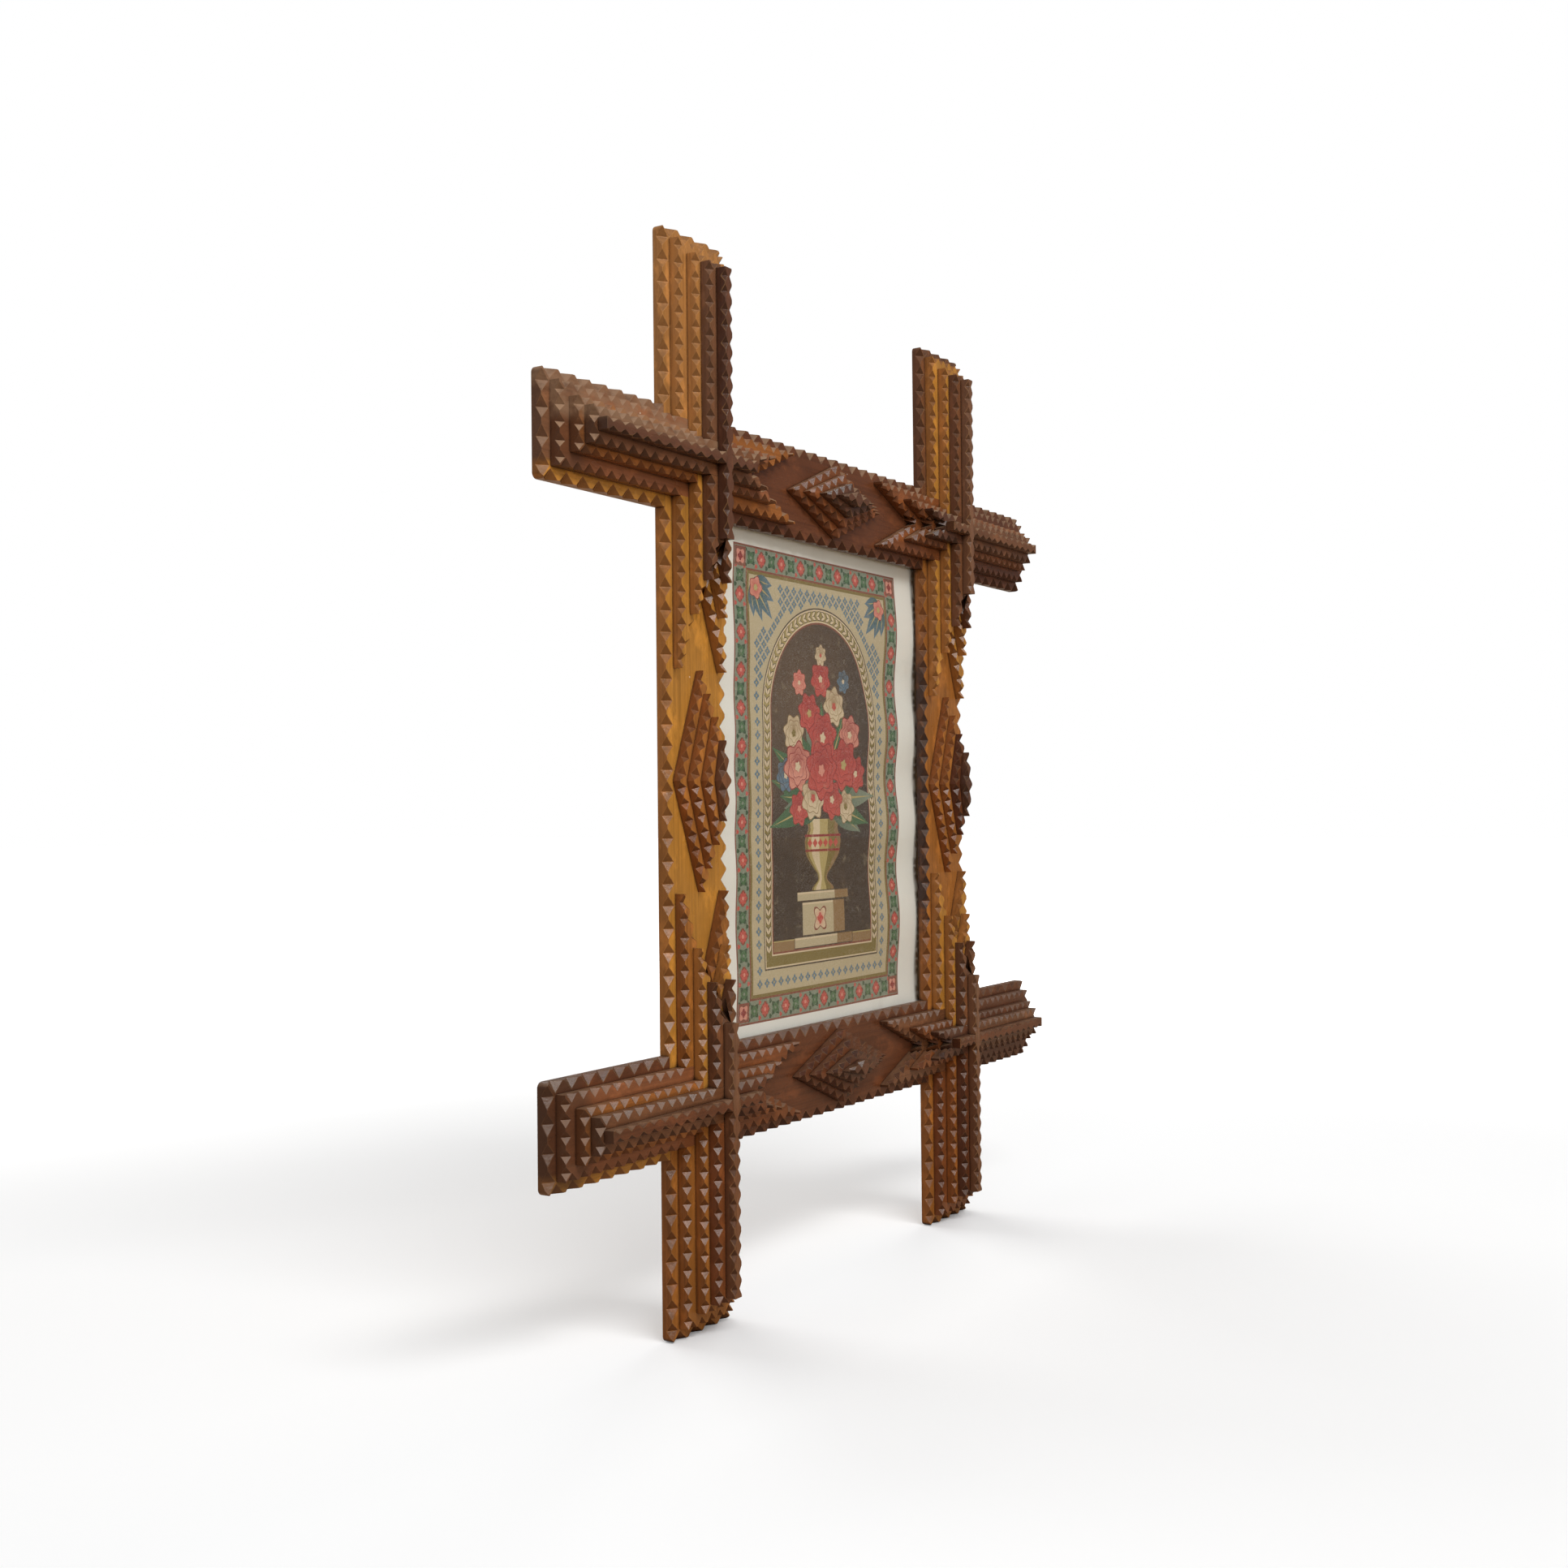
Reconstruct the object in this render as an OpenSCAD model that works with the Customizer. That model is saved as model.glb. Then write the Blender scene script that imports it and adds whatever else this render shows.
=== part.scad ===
// Crossed-corner picture frame of chip-carved boards.
// X runs to the right, Y to the wall and Z up. The origin lies on the wall, at the nail that the
// hanging ring hooks over.

/* [Frame] */
// Height of the stiles, end to end
stile_len = 652; // [600:1:740]
// Length of the rails, end to end
rail_len = 600; // [560:1:700]
// Width of each base board
board_w = 60; // [56:1:66]
// Thickness of each base board
board_t = 7; // [6:0.5:10]
// Radius of the worn corners of each base board
board_corner_r = 3.5; // [1:0.5:6]
// Width of the window
window_w = 262; // [250:1:290]
// Height of the window
window_h = 320; // [310:1:350]

/* [Tiers] */
// Thickness of each strip on the base boards
strip_t = 6.6; // [5.5:0.1:8]
// Step in from the edge of a base board to the first tier
first_step = 7; // [6.5:0.5:8]
// Step in from the first tier to the second
second_step = 8; // [6:0.5:9]
// Step in from the second tier to the third
third_step = 4.8; // [4:0.1:6]
// Width of the ridge, which is the fourth tier
ridge_w = 7; // [5:0.5:9]
// Step in from the end of the third tier to the end of the ridge
ridge_end_step = 3; // [2:0.5:6]
// Length from the first tier's fishtail tips to the second's
first_tail_step = 32; // [26:0.5:33]
// Length from the second tier's fishtail tips to the third's
second_tail_step = 20; // [16:0.5:21]
// Width of the blunt tip of a fishtail
tail_tip_w = 1.5; // [1:0.1:3]

/* [Lozenges] */
// Length of the lozenges on the stiles
stile_lozenge_len = 132; // [110:1:150]
// Length of the lozenges on the rails
rail_lozenge_len = 116; // [104:1:124]
// Width of the lozenges
lozenge_w = 49; // [44:0.5:52]
// Thickness of each lozenge tier
lozenge_t = 5.4; // [5:0.1:7]
// Step in from each point of a stile's lozenge to the next
stile_lozenge_step = 14; // [10:0.5:15]
// Step in from each point of a rail's lozenge to the next
rail_lozenge_step = 12; // [9:0.5:13]
// Step in from each side of a lozenge to the next
lozenge_side_step = 6.5; // [5:0.25:6.75]

/* [Carving] */
// Distance from notch to notch on the base boards
board_pitch = 13.6; // [11:0.1:18]
// Depth of a base board's notch on the front face
board_notch_in = 6.3; // [4:0.1:6.4]
// Depth of a base board's notch on the edge
board_notch_down = 4.4; // [3:0.1:5]
// Distance from notch to notch on the tiers
tier_pitch = 10; // [8:0.1:14]
// Depth of a tier's notch on the front face
tier_notch_in = 4.7; // [3:0.1:5.2]
// Depth of a tier's notch on the edge
tier_notch_down = 3.7; // [2.5:0.1:4]
// Width of the flat land between two notches
land_w = 0.9; // [0.4:0.1:2]
// How far a hand-cut notch strays from its place and from its full size
hand_cut = 0.6; // [0:0.1:1]

/* [Pocket] */
// Width of the lip that the base boards leave in front of the picture
lip_w = 8; // [6:0.5:10]
// Width of the back cleats
cleat_w = 12; // [10:0.5:13]
// Thickness of the back cleats
cleat_t = 12; // [11.5:0.5:16]
// Gap at the butt joints between the cleats
cleat_joint = 0.2; // [0.1:0.05:0.4]
// Gap between the cleats and the edges of what the pocket holds
pocket_gap = 1; // [0.5:0.1:2]
// Thickness of the glass
glass_t = 2; // [1.5:0.1:2.5]
// Thickness of the printed sheet
sheet_t = 0.4; // [0.3:0.1:0.6]
// Room that the buckled sheet takes between the glass and the backboard
sheet_room = 3.6; // [1.5:0.1:4]
// Thickness of the backboard
backboard_t = 4; // [3:0.5:4.5]
// Diameter of the brads that hold the backboard
brad_d = 1.4; // [1:0.1:1.6]
// Length of the brads
brad_len = 16; // [14:0.5:18]
// Length of each brad inside its cleat
brad_grip = 9; // [8:0.5:10]
// Distance from brad to brad
brad_pitch = 110; // [80:1:150]

/* [Hanger] */
// Diameter of the ring's wire
wire_d = 2.2; // [2:0.1:2.6]
// Radius of the ring's bow, to the middle of the wire
ring_r = 11; // [9:0.5:13]
// Gap between the hanging ring and the top cleat
ring_gap = 3; // [1:0.5:5]
// Thickness of the hanger's plate
plate_t = 1; // [0.8:0.1:1.2]
// Height of the hanger's plate
plate_h = 5.4; // [5:0.1:6]
// Width of the plate's knuckle, which the ring turns in
knuckle_w = 9; // [6:0.5:12]
// Wall of the knuckle round the wire
knuckle_wall = 1; // [0.8:0.1:1.2]
// Running clearance of the wire in the knuckle, on the radius
knuckle_clear = 0.08; // [0.02:0.01:0.1]
// Gap between the knuckle and the rail
knuckle_gap = 0.25; // [0.2:0.05:0.4]
// Diameter of the hanger screws' heads
screw_head_d = 4; // [3.4:0.1:4.6]
// Height of the hanger screws' heads
screw_head_h = 1.2; // [1:0.1:1.6]
// Width of the slot in the hanger screws' heads
screw_slot_w = 0.7; // [0.5:0.1:1]
// Depth of the slot in the hanger screws' heads
screw_slot_depth = 0.6; // [0.4:0.1:0.8]
// Diameter of the hanger screws
screw_d = 2; // [1.6:0.1:2.6]
// Length of the hanger screws in the rail
screw_len = 5; // [4:0.5:5.5]
// Gap between the ring and the heads of the screws
screw_gap = 1.2; // [0.5:0.1:3]
// Plate left past the heads of the screws
plate_edge = 1.5; // [1:0.1:3]
// Diameter of the nail in the wall
nail_d = 3; // [2:0.5:4]

/* [Hidden] */
$fn = 48;
TIERS = [1, 2, 3, 4];
RIDGE = len(TIERS);
CORNERS = [["top_left", -1, 1], ["top_right", 1, 1], ["bottom_left", -1, -1], ["bottom_right", 1, -1]];
STILES = [["left_stile", -1], ["right_stile", 1]];
RAILS = [["top_rail", 1], ["bottom_rail", -1]];

stile_x = (window_w + board_w) / 2;
rail_z = (window_h + board_w) / 2;
pocket_w = window_w + 2 * lip_w;
pocket_h = window_h + 2 * lip_w;
sheet_y = glass_t + (sheet_room - sheet_t) / 2;
backboard_y = glass_t + sheet_room;
bar_y = knuckle_gap + knuckle_wall + knuckle_clear + wire_d / 2;
bar_z = pocket_h / 2 + cleat_w + ring_gap + ring_r + wire_d / 2;
screw_x = ring_r + wire_d / 2 + screw_gap + screw_head_d / 2;
plate_w = 2 * (screw_x + screw_head_d / 2 + plate_edge);
nail_z = bar_z + ring_r - wire_d / 2 - nail_d / 2;
cut_slack = 1;
// Wood left under a notch, and share of a narrow strip's half width that a notch may take
notch_floor = 1.4;
notch_share = 0.8;

// Half the width of a tier of strips
function half_w(tier) = [
    board_w / 2 - first_step,
    board_w / 2 - first_step - second_step,
    board_w / 2 - first_step - second_step - third_step,
    ridge_w / 2
][tier - 1];

// Distance from the end of a member to the end of a tier of strips
function end_in(tier) = board_w / 2 - half_w(min(tier, RIDGE - 1)) + (tier == RIDGE ? ridge_end_step : 0);

// Place of a tier's fishtail tips, measured from the middle of its member. The ridge has no
// fishtail and ends just past the one below it.
function tail_u(tier, lozenge_len) =
    tier < RIDGE
        ? lozenge_len / 2 + (tier > 1 ? first_tail_step : 0) + (tier > 2 ? second_tail_step : 0)
        : tail_u(RIDGE - 1, lozenge_len) + tail_depth(RIDGE - 1, lozenge_len) + cut_slack;

// Depth of a tier's fishtail, whose sides run parallel to the lozenge's
function tail_depth(tier, lozenge_len) =
    tier < RIDGE ? (half_w(tier) - tail_tip_w) * lozenge_len / lozenge_w : 0;

// True where the tier's long strip lies along the rail
function runs_along_rail(tier) = tier % 2 == 1;

// Seed that gives each row of notches its own hand, the same at any scale
function hand_seed(from, to) = round(100 * ([7, 13] * from + [17, 29] * to) / board_w);

// Stands a shape drawn in the plane of the frame, with its front up, against the wall
module upright() {
    translate([0, -cleat_t, -nail_z]) rotate([90, 0, 0]) children();
}

// Moves a shape drawn behind the base boards, with Y to the wall, to its place
module behind() {
    translate([0, -cleat_t, -nail_z]) children();
}

// One V-cut across the front edge of a board. X points into the board and the edge runs along Y.
module v_cut(w, into, down) {
    groove = norm([into, down]);
    depth = into * down / groove;
    past = 1.8;
    translate([into / 2, 0, -down / 2])
        rotate([0, atan2(-into, -down), 0])
            linear_extrude(height = 2 * past * groove, center = true)
                polygon([[0, 0], [past * depth, past * w / 2], [past * depth, -past * w / 2]]);
}

// A row of V-cuts along the front edge from one point to another, with the board on the left
module v_row(from, to, front, pitch, into, down) {
    run = to - from;
    count = max(1, round(norm(run) / pitch));
    w = norm(run) / count - land_w;
    stray = rands(-hand_cut, hand_cut, 2 * count, hand_seed(from, to));
    for (i = [0 : count - 1]) {
        size = 1 - (hand_cut + stray[2 * i]) / (into + down);
        place = from + run * ((i + 0.5) / count + stray[2 * i + 1] / norm(run));
        translate([place[0], place[1], front])
            rotate([0, 0, atan2(run[1], run[0]) + 90])
                v_cut(w * size, into * size, down * size);
    }
}

// Rows of V-cuts on a base board and on a tier of the given thickness
module board_row(from, to) {
    v_row(from, to, board_t, board_pitch, board_notch_in, board_notch_down);
}

module tier_row(from, to, half, t) {
    into = min(tier_notch_in, notch_share * half);
    v_row(from, to, t, tier_pitch, into, min(tier_notch_down, t - notch_floor));
}

// Plain board along X, with its corners worn round
module worn_board(len) {
    r = board_corner_r;
    linear_extrude(height = board_t) {
        square([len, board_w - 2 * r], center = true);
        square([len - 2 * r, board_w], center = true);
        for (x = [-1, 1], y = [-1, 1]) translate([x * (len / 2 - r), y * (board_w / 2 - r)]) circle(r);
    }
}

// Base board along X, halved at the crossings from its back or from its front
module base_board(len, cross, halved_at_back) {
    half = board_w / 2;
    difference() {
        worn_board(len);
        for (s = [-1, 1])
            translate([s * cross - half, -half - cut_slack, halved_at_back ? -cut_slack : board_t / 2])
                cube([board_w, board_w + 2 * cut_slack, board_t / 2 + cut_slack]);
        for (turn = [0, 180]) rotate([0, 0, turn]) {
            board_row([-cross + half, -half], [cross - half, -half]);
            board_row([cross + half, -half], [len / 2, -half]);
            board_row([-len / 2, -half], [-cross - half, -half]);
            board_row([len / 2, -half], [len / 2, half]);
        }
    }
}

// Strip of one tier along X, with a fishtail or a plain cut at its near end. Its far end is carved
// if it is wide enough. Its edges stay whole where the strips of a crossing meet it.
module tier_strip(near, far, half, tail = 0, cross = undef, carved_end = true) {
    plain = [[near, -half], [far, -half], [far, half], [near, half]];
    fishtail = [[near, half - tail_tip_w], [near + tail, 0], [near, tail_tip_w - half]];
    difference() {
        linear_extrude(height = strip_t) polygon(tail > 0 ? concat(plain, fishtail) : plain);
        for (side = [0, 1]) mirror([0, side, 0]) {
            if (is_undef(cross)) {
                tier_row([near, -half], [far, -half], half, strip_t);
            } else {
                tier_row([near, -half], [cross - half, -half], half, strip_t);
                tier_row([cross + half, -half], [far, -half], half, strip_t);
            }
            if (tail > 0) tier_row(fishtail[1], fishtail[2], half, strip_t);
        }
        if (carved_end && half > tier_pitch / 2) tier_row([far, -half], [far, half], half, strip_t);
    }
}

// Strips of one tier on one arm of a member along X, whose crossing lies at the given distance
module long_strip(tier, len, cross, lozenge_len) {
    tier_strip(tail_u(tier, lozenge_len), len / 2 - end_in(tier), half_w(tier),
        tail_depth(tier, lozenge_len), cross);
}

module short_strips(tier, len, cross, lozenge_len) {
    half = half_w(tier);
    tier_strip(tail_u(tier, lozenge_len), cross - half, half, tail_depth(tier, lozenge_len),
        carved_end = false);
    tier_strip(cross + half, len / 2 - end_in(tier), half);
}

// Turns an arm drawn along X to its side of a rail or of a stile, in front of the base boards
module on_rail(side_x, side_z, tiers_under, t) {
    upright() translate([0, side_z * rail_z, board_t + tiers_under * t])
        rotate([0, 0, side_x > 0 ? 0 : 180]) children();
}

module on_stile(side_x, side_z, tiers_under, t) {
    upright() translate([side_x * stile_x, 0, board_t + tiers_under * t])
        rotate([0, 0, side_z * 90]) children();
}

module stile(side_x) {
    color("peru") upright() translate([side_x * stile_x, 0, 0]) rotate([0, 0, 90])
        base_board(stile_len, rail_z, true);
}

// The top rail has the pilot holes of the hanger's screws
module rail(side_z) {
    color("saddlebrown") difference() {
        upright() translate([0, side_z * rail_z, 0]) base_board(rail_len, stile_x, false);
        if (side_z > 0) behind() screw_rods(screw_d, -screw_len, cut_slack);
    }
}

module corner_long_strip(side_x, side_z, tier) {
    color(tier < 3 ? "chocolate" : "maroon")
        if (runs_along_rail(tier)) {
            on_rail(side_x, side_z, tier - 1, strip_t)
                long_strip(tier, rail_len, stile_x, rail_lozenge_len);
        } else {
            on_stile(side_x, side_z, tier - 1, strip_t)
                long_strip(tier, stile_len, rail_z, stile_lozenge_len);
        }
}

module corner_short_strips(side_x, side_z, tier) {
    color(tier < 3 ? "peru" : "sienna")
        if (runs_along_rail(tier)) {
            on_stile(side_x, side_z, tier - 1, strip_t)
                short_strips(tier, stile_len, rail_z, stile_lozenge_len);
        } else {
            on_rail(side_x, side_z, tier - 1, strip_t)
                short_strips(tier, rail_len, stile_x, rail_lozenge_len);
        }
}

// One tier of a lozenge, with its length along X
module lozenge_tier(tier, len, len_step) {
    a = len / 2 - (tier - 1) * len_step;
    b = lozenge_w / 2 - (tier - 1) * lozenge_side_step;
    points = [[a, 0], [0, b], [-a, 0], [0, -b]];
    difference() {
        linear_extrude(height = lozenge_t) polygon(points);
        for (i = [0 : 3]) tier_row(points[i], points[(i + 1) % 4], b, lozenge_t);
    }
}

module stile_lozenge(side_x, tier) {
    color(tier < 3 ? "peru" : "maroon") on_stile(side_x, 1, tier - 1, lozenge_t)
        lozenge_tier(tier, stile_lozenge_len, stile_lozenge_step);
}

module rail_lozenge(side_z, tier) {
    color(tier < 3 ? "chocolate" : "maroon") on_rail(1, side_z, tier - 1, lozenge_t)
        lozenge_tier(tier, rail_lozenge_len, rail_lozenge_step);
}

// Places of the brads along one side of the pocket, spread evenly
function brad_places(side) =
    let (count = max(2, round(side / brad_pitch)))
    [for (i = [0 : count - 1]) ((i + 0.5) / count - 0.5) * side];

// Brads as rods that lie on the backboard and run into the cleats
module brad_rods() {
    y = backboard_y + backboard_t + brad_d / 2;
    for (s = [-1, 1]) {
        for (z = brad_places(pocket_h))
            translate([s * (pocket_w / 2 + brad_grip - brad_len / 2), y, z])
                rotate([0, 90, 0]) cylinder(d = brad_d, h = brad_len, center = true);
        for (x = brad_places(pocket_w))
            translate([x, y, s * (pocket_h / 2 + brad_grip - brad_len / 2)])
                cylinder(d = brad_d, h = brad_len, center = true);
    }
}

// The top and bottom cleats run across, and the side cleats stand between them
module back_cleats() {
    side_len = pocket_h - 2 * cleat_joint;
    color("tan") behind() difference() {
        for (s = [-1, 1]) {
            translate([-pocket_w / 2 - cleat_w, 0, s * (pocket_h + cleat_w) / 2 - cleat_w / 2])
                cube([pocket_w + 2 * cleat_w, cleat_t, cleat_w]);
            translate([s * (pocket_w + cleat_w) / 2 - cleat_w / 2, 0, -side_len / 2])
                cube([cleat_w, cleat_t, side_len]);
        }
        brad_rods();
    }
}

// A pane that stands in the pocket on the bottom cleat
module pane(y, t) {
    w = pocket_w - 2 * pocket_gap;
    translate([-w / 2, y, -pocket_h / 2]) cube([w, t, pocket_h - pocket_gap]);
}

module glass_pane() {
    color("lightcyan", 0.3) behind() pane(0, glass_t);
}

module printed_sheet() {
    color("linen") behind() pane(sheet_y, sheet_t);
}

module backboard() {
    color("burlywood") behind() pane(backboard_y, backboard_t);
}

module backboard_brads() {
    color("dimgray") behind() brad_rods();
}

// Rods along Y at the two hanger screws
module screw_rods(d, from, to) {
    for (s = [-1, 1])
        translate([s * screw_x, from, bar_z]) rotate([-90, 0, 0]) cylinder(d = d, h = to - from);
}

// A plate on the rail's back, with a knuckle in its middle for the ring's bar
module hanger_plate() {
    bore_d = wire_d + 2 * knuckle_clear;
    color("goldenrod") behind() difference() {
        union() {
            translate([-plate_w / 2, 0, bar_z - plate_h / 2]) cube([plate_w, plate_t, plate_h]);
            translate([0, bar_y, bar_z]) rotate([0, 90, 0])
                cylinder(d = bore_d + 2 * knuckle_wall, h = knuckle_w, center = true);
        }
        translate([0, bar_y, bar_z]) rotate([0, 90, 0])
            cylinder(d = bore_d, h = plate_w, center = true);
        screw_rods(screw_d, -cut_slack, plate_t + cut_slack);
    }
}

module hanger_screws() {
    head_y = plate_t + screw_head_h;
    color("dimgray") behind() difference() {
        union() {
            screw_rods(screw_d, -screw_len, plate_t + screw_slot_depth / 2);
            screw_rods(screw_head_d, plate_t, head_y);
        }
        for (s = [-1, 1])
            translate([s * screw_x - screw_slot_w / 2, head_y - screw_slot_depth, bar_z - screw_head_d])
                cube([screw_slot_w, screw_slot_depth + cut_slack, 2 * screw_head_d]);
    }
}

// The ring is a straight bar with a half-round bow, which hangs down when no nail holds it
module hanger_ring() {
    color("goldenrod") behind() translate([0, bar_y, bar_z]) {
        rotate([0, 90, 0]) cylinder(d = wire_d, h = 2 * ring_r + wire_d, center = true);
        rotate([-90, 0, 0]) rotate_extrude(angle = 180) translate([ring_r, 0]) circle(d = wire_d);
    }
}

for (s = STILES) stile(s[1]);
for (r = RAILS) rail(r[1]);
for (c = CORNERS, t = TIERS) {
    corner_long_strip(c[1], c[2], t);
    corner_short_strips(c[1], c[2], t);
}
for (s = STILES, t = TIERS)
    stile_lozenge(s[1], t);
for (r = RAILS, t = TIERS)
    rail_lozenge(r[1], t);
back_cleats();
glass_pane();
printed_sheet();
backboard();
backboard_brads();
hanger_plate();
hanger_screws();
hanger_ring();
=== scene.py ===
"""Crossed-corner picture frame of chip-carved boards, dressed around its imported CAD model.

Metres. X runs to the right, Y to the wall and Z up, with the origin on the wall at the nail.
"""

import math

import bpy
import numpy as np
from mathutils import Matrix, Vector
from mathutils.geometry import delaunay_2d_cdt


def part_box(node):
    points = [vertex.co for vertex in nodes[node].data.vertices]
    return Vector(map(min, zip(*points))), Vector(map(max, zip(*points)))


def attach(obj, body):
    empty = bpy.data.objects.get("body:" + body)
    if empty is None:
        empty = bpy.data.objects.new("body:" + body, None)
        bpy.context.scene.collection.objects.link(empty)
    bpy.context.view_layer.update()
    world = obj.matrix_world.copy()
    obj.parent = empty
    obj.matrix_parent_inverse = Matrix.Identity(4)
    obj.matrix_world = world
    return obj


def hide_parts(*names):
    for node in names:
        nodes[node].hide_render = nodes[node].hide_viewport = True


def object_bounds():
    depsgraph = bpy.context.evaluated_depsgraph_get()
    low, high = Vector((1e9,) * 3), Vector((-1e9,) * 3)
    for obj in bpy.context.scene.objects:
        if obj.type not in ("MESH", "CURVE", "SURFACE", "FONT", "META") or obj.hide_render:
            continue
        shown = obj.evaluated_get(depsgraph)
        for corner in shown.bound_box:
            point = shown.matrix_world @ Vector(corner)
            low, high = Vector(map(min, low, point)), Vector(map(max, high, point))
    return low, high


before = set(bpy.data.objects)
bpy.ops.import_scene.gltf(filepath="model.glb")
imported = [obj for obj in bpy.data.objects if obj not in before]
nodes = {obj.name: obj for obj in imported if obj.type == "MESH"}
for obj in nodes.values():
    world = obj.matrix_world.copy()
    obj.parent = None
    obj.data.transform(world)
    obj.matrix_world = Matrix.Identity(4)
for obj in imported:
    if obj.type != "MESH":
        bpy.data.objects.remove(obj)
cad_low, cad_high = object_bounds()

# Stiles: two planed softwood boards, cross-halved with the rails near their ends. Their arrises are
# notched with a knife, the fronts stained a golden ochre and varnished, and the backs left bare.
MM = 0.001
RAIL_AXIS, STILE_AXIS = 0, 2
UPPER_CROSSING = sum(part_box("top_rail")[i].z for i in (0, 1)) / 2
LOWER_CROSSING = sum(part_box("bottom_rail")[i].z for i in (0, 1)) / 2
LEFT_CROSSING = sum(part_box("left_stile")[i].x for i in (0, 1)) / 2
RIGHT_CROSSING = sum(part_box("right_stile")[i].x for i in (0, 1)) / 2
BOARD_ARRIS_MM = 0.35


def paint(red, green, blue):
    """A colour given in the eight-bit steps of a paint chart, as the linear colour that shaders take:
    ((c / 255 + 0.055) / 1.055) to the power 2.4, close to black a straight line."""
    c = np.array([red, green, blue]) / 255
    linear = np.where(c > 0.04045, ((c + 0.055) / 1.055) ** 2.4, c / 12.92)
    return (*linear.tolist(), 1.0)


# Each stain is its colour on the front and its colour on the sawn edges and the cut facets
OCHRE = paint(185, 128, 54), paint(148, 96, 48)
HONEY = paint(162, 103, 47), paint(128, 77, 37)
TAN = paint(176, 122, 67), paint(166, 114, 64)
UMBER = paint(124, 84, 58), paint(110, 74, 52)
TOFFEE = paint(168, 108, 51), paint(129, 75, 36)
ORANGE = paint(158, 96, 44), paint(128, 73, 34)
CHESTNUT = paint(142, 87, 54), paint(122, 74, 45)
RUST = paint(128, 74, 40), paint(106, 59, 32)
RED = paint(104, 60, 36), paint(84, 46, 28)
BROWN = paint(118, 76, 49), paint(96, 60, 39)
DARK = paint(98, 62, 44), paint(76, 46, 32)
# What lies in and on the wood (the dirt and grime colours are partly painted shade, the dust colour partly a
# painted sheen), what shows where the stain is worn off, and the wood of the bare backs
PORE, DIRT_AND_SHADE, DUST_AND_SHEEN = paint(48, 28, 18), paint(38, 21, 14), paint(150, 119, 92)
SHADE_AND_GRIME, HAND_MARK = paint(52, 38, 34), paint(74, 50, 36)
RUBBED, CHIP = paint(226, 176, 112), paint(222, 208, 188)
BARE_PALE, BARE_DEEP, BARE_BAND = paint(164, 130, 90), paint(116, 84, 55), paint(104, 74, 48)
# How much darker the soaked wood and the painted shade on facets that face down are than the stain, and how
# much paler the worn wood in red, green and blue
DEEPER, PALER = 0.48, (1.5, 1.48, 1.4)


def add_node(tree, kind, sockets=None, **settings):
    """Adds one shader node. A socket that is given another node's output is linked to it."""
    made = tree.nodes.new(kind)
    for name, value in settings.items():
        setattr(made, name, value)
    for name, value in (sockets or {}).items():
        if isinstance(value, bpy.types.NodeSocket):
            tree.links.new(value, made.inputs[name])
        else:
            made.inputs[name].default_value = value
    return made


def add_math(tree, operation, a, b=0.0, clamp=False):
    """One sum of two numbers or outputs, and its result."""
    return add_node(tree, "ShaderNodeMath", {0: a, 1: b}, operation=operation, use_clamp=clamp).outputs[0]


def add_blend(tree, a, b, share):
    """A share of one number and the rest of another, and its result."""
    rest = add_math(tree, "MULTIPLY", b, 1 - share)
    return add_math(tree, "ADD", add_math(tree, "MULTIPLY", a, share), rest)


def add_mix(tree, share, a, b):
    """A colour between a and b, and its result."""
    mixed = add_node(tree, "ShaderNodeMix", {0: share, 6: a, 7: b}, data_type="RGBA")
    return mixed.outputs[2]


def add_ramp(tree, value, low, high, out_low=0.0, out_high=1.0):
    """A smooth step from out_low to out_high as the value goes from low to high."""
    sockets = {0: value, 1: low, 2: high, 3: out_low, 4: out_high}
    return add_node(tree, "ShaderNodeMapRange", sockets, interpolation_type="SMOOTHSTEP").outputs[0]


def stretched_noise(tree, point, along, across_mm, along_mm, shift, detail, roughness=0.55):
    """Noise whose spots are across_mm wide and along_mm long, with the length along one axis."""
    scale = [1 / (across_mm * MM)] * 3
    scale[along] = 1 / (along_mm * MM)
    place = add_node(tree, "ShaderNodeMapping", {"Vector": point, "Scale": scale, "Location": shift})
    noise = add_node(tree, "ShaderNodeTexNoise", {"Vector": place.outputs[0], "Scale": 1.0, "Detail": detail,
                                                  "Roughness": roughness}, noise_dimensions="3D")
    return noise.outputs[0]


def new_finish(name):
    """A new material, its node tree and its shader."""
    made = bpy.data.materials.new(name)
    made.use_nodes = True
    return made, made.node_tree, made.node_tree.nodes["Principled BSDF"]


def grain_shift(seed):
    """The place in the noise that one piece is cut from, so that no two pieces have the same grain."""
    return np.random.default_rng(seed).uniform(-40, 40, 3).tolist()


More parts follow.
